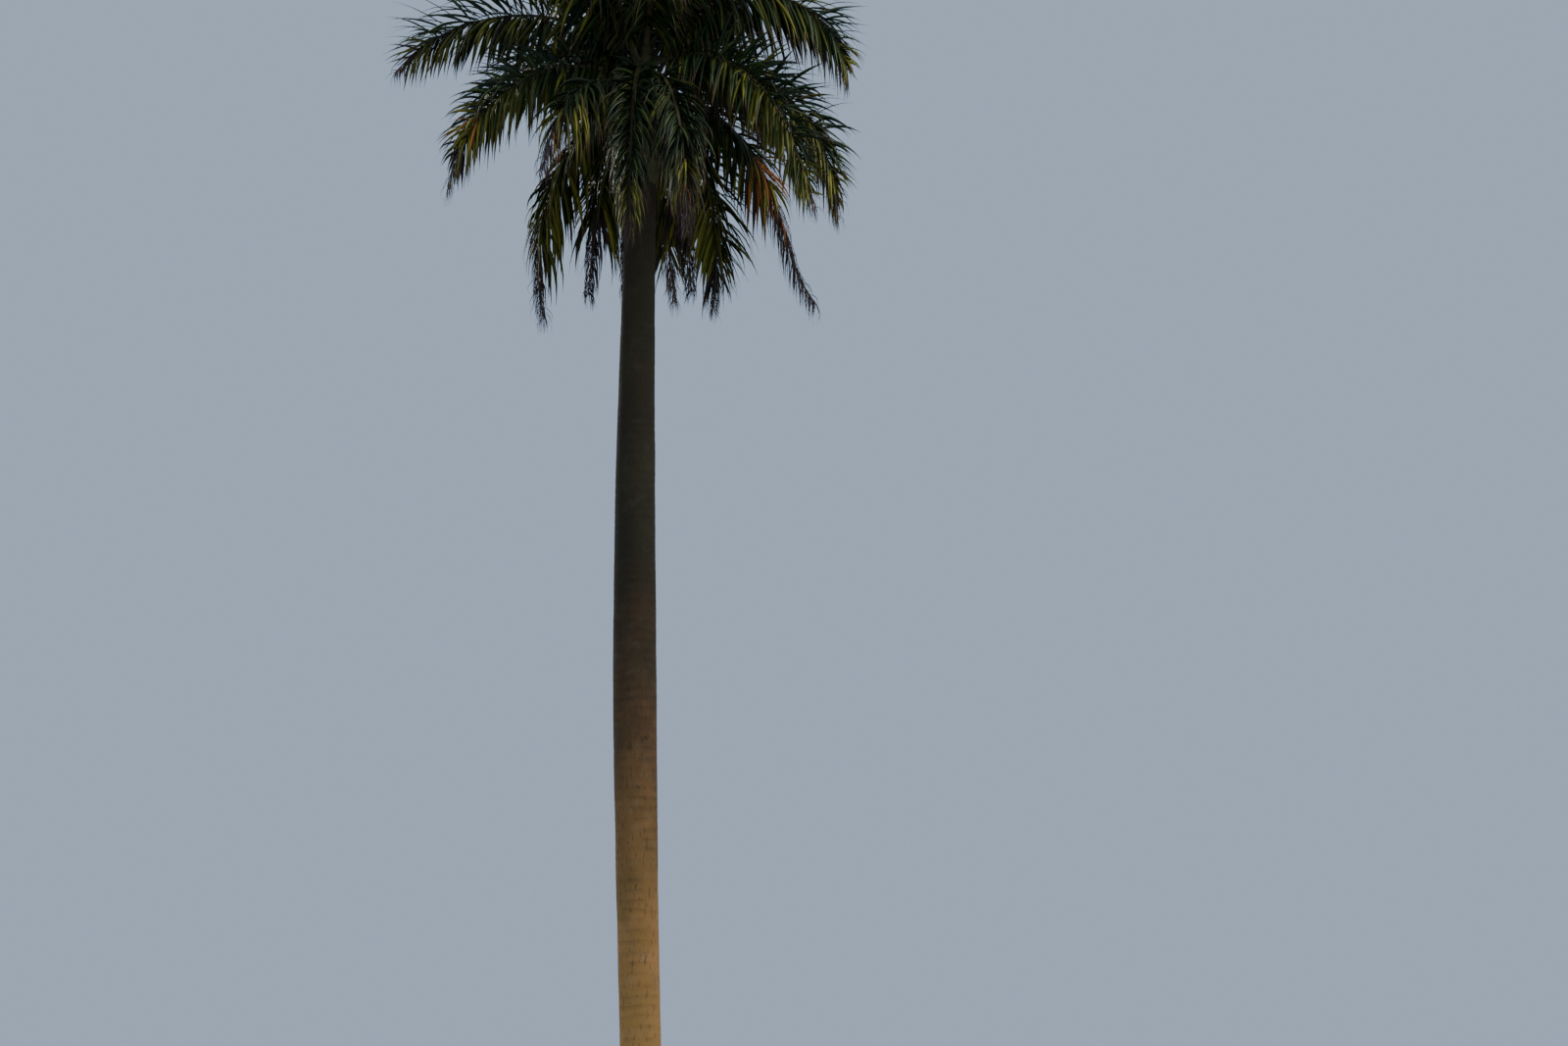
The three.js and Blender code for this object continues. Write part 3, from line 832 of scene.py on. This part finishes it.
# A leaflet's breadth along it, as shares of its greatest breadth: a narrow root, then
# lance-shaped, with a long fine tip.
LEAFLET_OUTLINE = (
    (0, 0.22), (0.12, 0.68), (0.28, 0.97), (0.42, 0.98), (0.6, 0.72), (0.8, 0.3), (0.92, 0.12),
    (1, 0.02),
)

# Inputs of the leaflet tree: how far a leaflet's end strays from its arc, in metres, and how
# often it turns on the way. A thread is thicker for its breadth and isn't folded.
FRESH = dict(Waver=0.07, Curls=1.3)
DRY = dict(Waver=0.1, Curls=1.4)
THREAD = dict(Waver=0.22, Curls=2.6, Fold=0.0, Thickness=0.004)


def leaflet_tree():
    """Grows a bent, folded leaflet on every point of the input, from the point's own chord
    (its mean direction), upper side, reach, breadth and bend."""
    tree, build, given, result = group(
        "leaflets",
        "GeometryNodeTree",
        [
            ("Geometry", "NodeSocketGeometry", None),
            ("Segments", "NodeSocketInt", LEAFLET_SEGMENTS),
            ("Thickness", "NodeSocketFloat", LEAFLET_THICKNESS),
            ("Fold", "NodeSocketFloat", LEAFLET_FOLD),
            ("Waver", "NodeSocketFloat", FRESH["Waver"]),
            ("Curls", "NodeSocketFloat", FRESH["Curls"]),
            ("Material", "NodeSocketMaterial", None),
        ],
        [("Geometry", "NodeSocketGeometry")],
    )
    # The blade before it is bent: a column of four corners, two edges and two on the midrib.
    column = build.node(
        "GeometryNodeMeshCylinder",
        {"Vertices": 4, "Side Segments": given["Segments"], "Radius": 1.0, "Depth": 1.0},
        fill_type="NGON",
    ).outputs["Mesh"]
    place = build.node("GeometryNodeInputPosition").outputs[0]
    local = build.vector("ADD", place, (0.0, 0.0, 0.5))
    blade = build.keep(column, "blade", local, "FLOAT_VECTOR")
    rooted = build.keep(given["Geometry"], "root", place, "FLOAT_VECTOR")
    spread = build.node("GeometryNodeInstanceOnPoints", {"Points": rooted, "Instance": blade})
    real = build.node("GeometryNodeRealizeInstances", {"Geometry": spread.outputs[0]}).outputs[0]

    edge, over, along = build.split(build.attribute("blade", "FLOAT_VECTOR"))
    chord = build.attribute("chord", "FLOAT_VECTOR")
    upper = build.attribute("upper", "FLOAT_VECTOR")
    reach = build.attribute("reach")
    breadth = build.attribute("breadth")
    bend = build.attribute("bend")

    # The arc: it starts half the bend above its chord and turns down by the whole bend.
    down = (0.0, 0.0, -1.0)
    sunk = build.scaled(chord, build.vector("DOT_PRODUCT", chord, down))
    fall = build.vector("SUBTRACT", down, sunk)
    fall = build.vector("NORMALIZE", build.vector("ADD", fall, build.scaled(upper, -0.05)))
    half = build.times(bend, 0.5)
    heading = build.vector(
        "SUBTRACT",
        build.scaled(chord, build.math("COSINE", half)),
        build.scaled(fall, build.math("SINE", half)),
    )
    sinking = build.vector(
        "ADD",
        build.scaled(chord, build.math("SINE", half)),
        build.scaled(fall, build.math("COSINE", half)),
    )
    angle = build.times(bend, along)
    ahead = build.ratio(build.times(build.math("SINE", angle), reach), bend)
    lower = build.minus(1.0, build.math("COSINE", angle))
    lower = build.ratio(build.times(lower, reach), bend)
    arc = build.vector("ADD", build.scaled(heading, ahead), build.scaled(sinking, lower))

    # The cross-section: folded down along the midrib, and turned with the arc
    axis = build.vector("CROSS_PRODUCT", heading, sinking)
    level = build.vector("NORMALIZE", build.vector("CROSS_PRODUCT", heading, upper))
    crown = build.vector("CROSS_PRODUCT", level, heading)

    def turned(vector):
        made = build.node(
            "ShaderNodeVectorRotate",
            {"Vector": vector, "Axis": axis, "Angle": angle},
            rotation_type="AXIS_ANGLE",
        )
        return made.outputs["Vector"]

    half_breadth = build.times(build.times(breadth, 0.5), build.curve(along, LEAFLET_OUTLINE))
    across = build.times(edge, half_breadth)
    folded = build.times(build.math("ABSOLUTE", across), build.times(given["Fold"], -1.0))
    thinning = build.span(along, 0.0, 1.0, ROOT_THICKNESS, END_THICKNESS)
    half_thickness = build.times(given["Thickness"], thinning)
    ridge = build.plus(folded, build.times(over, half_thickness))
    section = build.vector(
        "ADD", build.scaled(turned(level), across), build.scaled(turned(crown), ridge)
    )

    # Slow wavering, which grows towards the tip
    root = build.attribute("root", "FLOAT_VECTOR")
    curls = build.combine(0.0, 0.0, build.times(along, given["Curls"]))
    where = build.vector("ADD", build.scaled(root, LEAFLET_DIFFERENCE), curls)
    noise = build.node("ShaderNodeTexNoise", {"Vector": where, "Scale": 1.0, "Detail": 1.0})
    drift = build.vector("SUBTRACT", noise.outputs["Color"], (0.5, 0.5, 0.5))
    sway = build.times(build.times(along, along), given["Waver"])
    strayed = build.vector("ADD", section, build.scaled(drift, sway))
    placed = build.vector("ADD", build.vector("ADD", root, arc), strayed)
    moved = build.node("GeometryNodeSetPosition", {"Geometry": real, "Position": placed}).outputs[0]
    coat(build, moved, given, result)
    return tree


TISSUES = ("green", "deep_green", "olive", "yellow", "orange", "brown", "grey")

# The tissues' shares by rank, from the hanging one to the one on top, in a young frond and
# in an old one. The hanging ranks' olive and yellow are painted light shining through the
# leaflets, and the deep green of the ranks on top is painted shade; the young shares are
# also the painted shade of the fronds kept dark.
YOUNG_AND_SHADED_SHARES = (
    (0.5, 0.28, 0.19, 0.03, 0, 0, 0),
    (0.5, 0.33, 0.15, 0.02, 0, 0, 0),
    (0.42, 0.55, 0.03, 0, 0, 0, 0),
    (0.28, 0.71, 0.01, 0, 0, 0, 0),
)
OLD_AND_LIT_SHARES = (
    (0.06, 0.02, 0.43, 0.46, 0, 0.03, 0),
    (0.1, 0.05, 0.47, 0.35, 0, 0.03, 0),
    (0.38, 0.36, 0.2, 0.03, 0, 0.03, 0),
    (0.28, 0.6, 0.09, 0, 0, 0.03, 0),
)
CENTRE_SHADE_FADE = (0.1, 0.55)  # the shares of the leafy rib over which painted shade near the trunk gives way to an old frond's yellow
TURNING_SHARES = (0.05, 0.02, 0.38, 0.29, 0, 0.26, 0)
BRIGHT_SHARES = {
    2: (0, 0, 0.12, 0.22, 0.56, 0.1, 0),
    6: (0, 0, 0.2, 0.62, 0.1, 0.08, 0),
}
WITHERED_SHARES = (0, 0, 0.02, 0.01, 0.02, 0.7, 0.25)

# Where two fronds are orange, as shares of the leafy rib: how far before the start of their
# withered end the stretch begins and ends. A negative share lies past that start.
BRIGHT_STRETCHES = {2: (0.1, -0.07), 6: (0.2, 0.1)}
TURNING_REACH = 0.1  # how far from that start the leaflets are turning
LOOSE_SHARE = 0.4  # the share of leaflets that don't take their cluster's draw


def deal_tissues(index, frond, place, rank, dry, rng):
    """A tissue for each leaflet, dealt out by cluster. The hanging ranks are yellower, as
    painted light shining through them, and the ranks on top are deeper green, as painted shade.
    The yellow grows on old fronds and away from the trunk, the leaflets near the trunk kept
    darker as painted shade, and two fronds are orange where their withered end begins."""
    young_and_shaded, old_and_lit = np.array(YOUNG_AND_SHADED_SHARES, dtype=float), np.array(OLD_AND_LIT_SHARES, dtype=float)
    # An old frond's yellowing together with painted light shining through, faded to painted shade near
    # the trunk.
    aged_and_lit = frond["yellow"] * ease(place, *CENTRE_SHADE_FADE)
    odds = mix(young_and_shaded[rank], old_and_lit[rank], aged_and_lit[:, None])
    border = (1 - frond["withered"] - PETIOLE_SHARE) / (1 - PETIOLE_SHARE)
    odds[np.abs(place - border) < TURNING_REACH] = TURNING_SHARES
    odds[dry] = WITHERED_SHARES
    if index in BRIGHT_STRETCHES:
        start, end = BRIGHT_STRETCHES[index]
        odds[(place > border - start) & (place < border - end)] = BRIGHT_SHARES[index]
    edges = np.cumsum(odds, axis=1)
    edges /= edges[:, -1:]
    clusters = len(place) // len(RANKS)
    draws = np.repeat(rng.random(clusters), len(RANKS))
    loose = rng.random(len(place)) < LOOSE_SHARE
    draws = np.where(loose, rng.random(len(place)), draws)
    return (draws[:, None] > edges).sum(axis=1).clip(0, len(TISSUES) - 1)


# How the leaflets stand. A stray is the furthest chance change to either side, a spread its
# usual size, and a range the shares that chance picks from.
LEAFLET_SEED = 4100
CLUSTER_START, CLUSTER_SHIFT = 0.3, 0.4  # the clusters on one side stand between the others
CLUSTER_STRAY, LEAFLET_STRAY, WITHERING_STRAY = 0.22, 0.2, 0.05
LAST_LEAFLET = 0.995
ROOT_SHARE = 0.75  # how far across the rib's half width a leaflet stands
LEAN_SPREAD, LIFT_SPREAD = 9.0, 11.0
DROOP_RANGE, LENGTH_RANGE = (0.75, 1.25), (0.84, 1.04)
BREADTH_RANGE, BEND_RANGE = (0.8, 1.15), (0.5, 1.6)
END_BREADTH = 0.5
FACE_UP, FACE_OUT, FACE_SPREAD = 0.65, 0.6, 0.28  # where the upper side looks
FRINGE_BEND, CREST_BEND, DRY_BEND = 0.5, 0.85, 0.7
YOUNG_BEND, OLD_BEND = 0.6, 1.2


def leaflet_seeds(index, frond, line):
    """One row for each leaflet of a frond: where it stands, how it lies, and its tissue."""
    rng = np.random.default_rng(LEAFLET_SEED + index)
    clusters = int(frond["length"] * (1 - PETIOLE_SHARE) / CLUSTER_SPACING)
    ranks = np.array(RANKS, dtype=float)
    rows = []
    for sign in (-1, 1):
        centre = (np.arange(clusters) + CLUSTER_START + CLUSTER_SHIFT * (sign > 0)) / clusters
        centre = centre + rng.uniform(-CLUSTER_STRAY, CLUSTER_STRAY, clusters) / clusters
        rank = np.tile(np.arange(len(RANKS)), clusters)
        crest = rank >= TOP_RANKS
        count = len(rank)
        stray = rng.uniform(-LEAFLET_STRAY, LEAFLET_STRAY, count) / clusters
        place = np.clip(np.repeat(centre, len(RANKS)) + stray, 0, 1)
        lift, further, hang, longer, wider, power = ranks[rank].T
        share = mix(PETIOLE_SHARE, LAST_LEAFLET, place)
        border = 1 - frond["withered"] + rng.uniform(-WITHERING_STRAY, WITHERING_STRAY, count)
        dry = share > border
        tangent = at_share(line, "tangents", share)
        normal = at_share(line, "normals", share)
        lean = mix(FIRST_LEAN, LAST_LEAN, place) + further
        lean = np.radians(lean + rng.normal(0, LEAN_SPREAD, count))
        hang = mix(hang, np.maximum(hang, LIMP_HANG), frond["limp"])
        hang = np.where(dry, np.maximum(hang, DRY_HANG), hang)
        lift = np.radians(lift + rng.normal(0, LIFT_SPREAD, count))
        droop = np.where(dry, DRY_DROOP, frond["droop"]) * hang
        droop = droop * rng.uniform(*DROOP_RANGE, count)
        out = (
            tangent * np.cos(lean)[:, None]
            + line["side"] * (sign * np.sin(lean) * np.cos(lift))[:, None]
            + normal * (np.sin(lean) * np.sin(lift))[:, None]
        )
        chord = unit(out - UP * droop[:, None])
        swelling = np.sin(np.pi * mix(SWELLING_START, SWELLING_END, place)) ** power
        own = np.where(crest, frond["crest"], frond["fringe"])
        shorter = np.where(dry, DRY_LENGTH, 1.0) * longer * own
        reach = LEAFLET_LENGTH * swelling * shorter * rng.uniform(*LENGTH_RANGE, count)
        narrower = np.where(dry, DRY_BREADTH, 1.0)
        breadth = LEAFLET_BREADTH * wider * mix(1.0, END_BREADTH, place ** 2) * narrower
        upper = normal * FACE_UP + line["side"] * (sign * FACE_OUT)
        upper = upper + rng.normal(0, FACE_SPREAD, (count, 3))
        width = mix(SEAT_WIDTH, TIP_WIDTH, share ** WIDTH_TAPER) / 2
        beside = line["side"] * (sign * width * ROOT_SHARE)[:, None]
        bend = np.where(dry, DRY_BEND, np.where(crest, CREST_BEND, FRINGE_BEND))
        rows.append(
            dict(
                root=at_share(line, "points", share) + beside,
                chord=chord,
                upper=unit(upper),
                reach=reach,
                breadth=breadth * rng.uniform(*BREADTH_RANGE, count),
                bend=bend
                * rng.uniform(*BEND_RANGE, count)
                * mix(YOUNG_BEND, OLD_BEND, frond["age"]),
                tissue=deal_tissues(index, frond, place, rank, dry, rng),
            )
        )
    return joined(rows)


# Dry threads: their number on a fresh frond, how many times more a dry one has, and the share
# of the leafy rib that they stand on
THREAD_SEED = 6200
THREADS_PER_FROND = 34
THREAD_GAIN = 5
THREAD_STRETCH = 0.9
THREAD_CROWDING = 1.7  # how closely they gather towards the tip
THREAD_LENGTHS, THREAD_BREADTHS, THREAD_BENDS = (0.16, 0.4), (0.005, 0.009), (0.6, 2.4)


def thread_seeds(index, frond, line):
    """Dry threads, most of them near the rib's end. A withered frond has more of them, and
    they hang more steeply."""
    rng = np.random.default_rng(THREAD_SEED + index)
    gain = THREAD_GAIN * frond["withered"]
    count = int(THREADS_PER_FROND * (1 + gain))
    share = 1 - (1 - PETIOLE_SHARE) * rng.random(count) ** THREAD_CROWDING * THREAD_STRETCH
    tangent = at_share(line, "tangents", share)
    normal = at_share(line, "normals", share)
    swing = rng.uniform(0, 2 * np.pi, count)[:, None]
    around = line["side"] * np.cos(swing) + normal * np.sin(swing)
    longer = mix(0.7, 1.1, frond["age"]) * mix(1.15, 0.7, share ** 6)
    return dict(
        root=at_share(line, "points", share),
        chord=unit(tangent * 0.5 + around - UP * (0.7 + gain)),
        upper=unit(normal + rng.normal(0, 0.3, (count, 3))),
        reach=rng.uniform(*THREAD_LENGTHS, count) * longer,
        breadth=rng.uniform(*THREAD_BREADTHS, count),
        bend=rng.uniform(*THREAD_BENDS, count),
    )


def joined(rows):
    """The arrays of all the rows, end to end."""
    return {key: np.concatenate([row[key] for row in rows]) for key in rows[0]}


def seed_mesh(name, seeds):
    """Bare points that hold what the leaflet tree reads."""
    mesh = bpy.data.meshes.new(name)
    mesh.from_pydata(seeds["root"].tolist(), [], [])
    for key in ("chord", "upper", "reach", "breadth", "bend"):
        store(mesh, key, seeds[key])
    return mesh


# Each tissue's colour, its deeper colour, its roughness and its slot, and the threads'
LOOKS = {
    # The olive and yellow tissues also stand for painted light shining through hanging leaflets, and
    # the deep green for painted shade.
    "green": ((0.043, 0.078, 0.014), (0.026, 0.052, 0.01), 0.38, "leaf_green"),
    "deep_green": ((0.017, 0.037, 0.012), (0.01, 0.024, 0.009), 0.36, "leaf_green"),
    "olive": ((0.125, 0.13, 0.016), (0.08, 0.09, 0.012), 0.42, "leaf_olive"),
    "yellow": ((0.25, 0.24, 0.024), (0.17, 0.17, 0.018), 0.46, "leaf_olive"),
    "orange": ((0.6, 0.24, 0.045), (0.42, 0.14, 0.03), 0.55, "leaf_withered"),
    "brown": ((0.062, 0.038, 0.034), (0.034, 0.022, 0.022), 0.7, "leaf_withered"),
    "grey": ((0.105, 0.078, 0.078), (0.06, 0.043, 0.046), 0.75, "leaf_withered"),
    "thread": ((0.05, 0.03, 0.024), (0.03, 0.02, 0.018), 0.75, "leaf_withered"),
}
DRY_TISSUES = ("brown", "grey")


def grow_leaves(name, look, seeds, tree, mottle, nodes, values):
    """Grows one joined piece of leaflets, and leaves only the attribute its material reads."""
    colour, deep, roughness, slot = LOOKS[look]
    material = leaf_material("leaf_" + look, mottle, colour, deep, roughness)
    piece = grow(name, seed_mesh(name + "_seeds", seeds), tree, {"Material": material, **values})
    kept = ("position", "blade", "material_index", "sharp_face")
    for layer in [one.name for one in piece.data.attributes]:
        if layer not in kept and not layer.startswith("."):
            piece.data.attributes.remove(piece.data.attributes[layer])
    piece.data.shade_smooth()
    finish_piece(piece, nodes)


def make_leaflets(fronds, mottle, nodes):
    """One piece for each tissue, with the leaflets of every frond, and one of dry threads."""
    tree = leaflet_tree()
    seeds = joined([leaflet_seeds(index, *pair) for index, pair in enumerate(fronds)])
    for number, tissue in enumerate(TISSUES):
        chosen = seeds["tissue"] == number
        some = {key: column[chosen] for key, column in seeds.items()}
        values = DRY if tissue in DRY_TISSUES else FRESH
        grow_leaves("leaflets_" + tissue, tissue, some, tree, mottle, nodes, values)
    threads = joined([thread_seeds(index, *pair) for index, pair in enumerate(fronds)])
    grow_leaves("dry_threads", "thread", threads, tree, mottle, nodes, THREAD)


# Sheath and spear leaf

# The clasping leaf bases. Each reaches round the sheath by a half angle, in radians, which
# grows down to a certain drop, and its foot lies about a metre down.
SHEATH_SEED = 77
SHEATH_SIDES, SHEATH_ROWS = 180, 210
SHEATH_SEAM = 0.0003  # the gap under the spear leaf, as in the solids
TOP_WRAP, WRAP_GAIN, WRAP_DROP, WRAP_RIPPLE = 0.3, 1.9, 0.55, 0.06
BASE_LIFT, BASE_FOOT, FOOT_WAVE = 0.03, 1.0, 0.05
BASE_LENGTHS = (0.85, 1.15)
SIDE_MARGIN, FOOT_MARGIN = 0.09, 0.02  # the dry margins' breadths
BASE_STEP = 0.0035  # how much deeper each younger base lies
DEEPEST = 5  # the most steps in one place
MARGIN_STEP = 0.003  # how far a dry margin stands out
SHEATH_SKIN = 0.004  # how far the outermost bases stand out from the solid
YOUNG_BASE = 9  # from this frond on, the bases aren't worn


def make_sheath(fronds, mottle):
    """The column of clasping leaf bases. The oldest base that reaches a place lies outside,
    and each younger one a little deeper."""
    angles = np.linspace(0, 2 * np.pi, SHEATH_SIDES, endpoint=False)
    heights = np.linspace(SHEATH_FOOT, SHEATH_TOP - SHEATH_SEAM, SHEATH_ROWS + 1)
    angle, height = np.meshgrid(angles, heights)
    cover = np.full(angle.shape, FROND_COUNT)
    margin = np.zeros(angle.shape)
    rng = np.random.default_rng(SHEATH_SEED)
    for index in range(FROND_COUNT - 1, -1, -1):
        frond = fronds[index][0]
        below = (frond["seat"] - height) / rng.uniform(*BASE_LENGTHS)
        wrap = TOP_WRAP + WRAP_GAIN * ease(below, 0.0, WRAP_DROP)
        wrap = wrap + WRAP_RIPPLE * np.sin(height * 31 + index)
        foot = BASE_FOOT - FOOT_WAVE * np.cos(angle * 3 + index)
        apart = np.abs((angle - frond["azimuth"] + np.pi) % (2 * np.pi) - np.pi)
        inside = (apart < wrap) & (below > -BASE_LIFT) & (below < foot)
        cover = np.where(inside, index, cover)
        away = np.minimum((wrap - apart) / SIDE_MARGIN, (foot - below) / FOOT_MARGIN)
        margin = np.where(inside, 1 - np.clip(away, 0, 1), margin)
    order = cover - cover.min(axis=1, keepdims=True)
    depth = BASE_STEP * np.clip(order, 0, DEEPEST) - MARGIN_STEP * margin * (margin > 0.5)
    depth = depth * ease(heights, SHEATH_FOOT, SHEATH_FOOT + 0.05)[:, None]
    reach = sheath_width(height) / 2 + SHEATH_SKIN - depth
    points, faces = column_mesh(angle, height, reach)
    piece = mesh_piece("clasping_bases", points, faces, sheath_material(mottle))
    worn = np.clip(1 - cover / YOUNG_BASE, 0, 1)
    store(piece.data, "margin", np.append(margin, (0, 0)))
    store(piece.data, "worn", np.append(worn, (0, 0)))
    finish_piece(piece, ["sheath"])


SPEAR_SIDES, SPEAR_ROWS = 40, 60
SPEAR_FOLDS, SPEAR_TWIST, SPEAR_RIDGE = 4, 5, 0.16


def make_spear(mottle):
    """The youngest leaf, still rolled, with its folded leaflets as a twist of ridges."""
    angles = np.linspace(0, 2 * np.pi, SPEAR_SIDES, endpoint=False)
    angle, share = np.meshgrid(angles, np.linspace(0, 1, SPEAR_ROWS + 1))
    height = SHEATH_TOP + share * SPEAR_LENGTH
    folds = np.abs(np.sin(SPEAR_FOLDS * angle + SPEAR_TWIST * share))
    ridges = 1 - SPEAR_RIDGE * folds * ease(share, 0.03, 0.2)
    reach = mix(SPEAR_WIDTH, SPEAR_TIP, share ** SPEAR_TAPER) / 2 * ridges
    points, faces = column_mesh(angle, height, reach)
    piece = mesh_piece("rolled_leaf", points, faces, spear_material(mottle))
    finish_piece(piece, ["spear_leaf"])


make_camera()
make_floor()
make_light()

mottle = mottle_group()
frond_nodes = [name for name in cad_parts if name.startswith("frond_")]
fronds = []
for index in range(FROND_COUNT):
    frond = habit(index)
    fronds.append((frond, rib_line(frond)))

make_trunk(mottle)
make_sheath(fronds, mottle)
make_spear(mottle)
make_ribs(fronds, mottle, frond_nodes)
make_leaflets(fronds, mottle, frond_nodes)
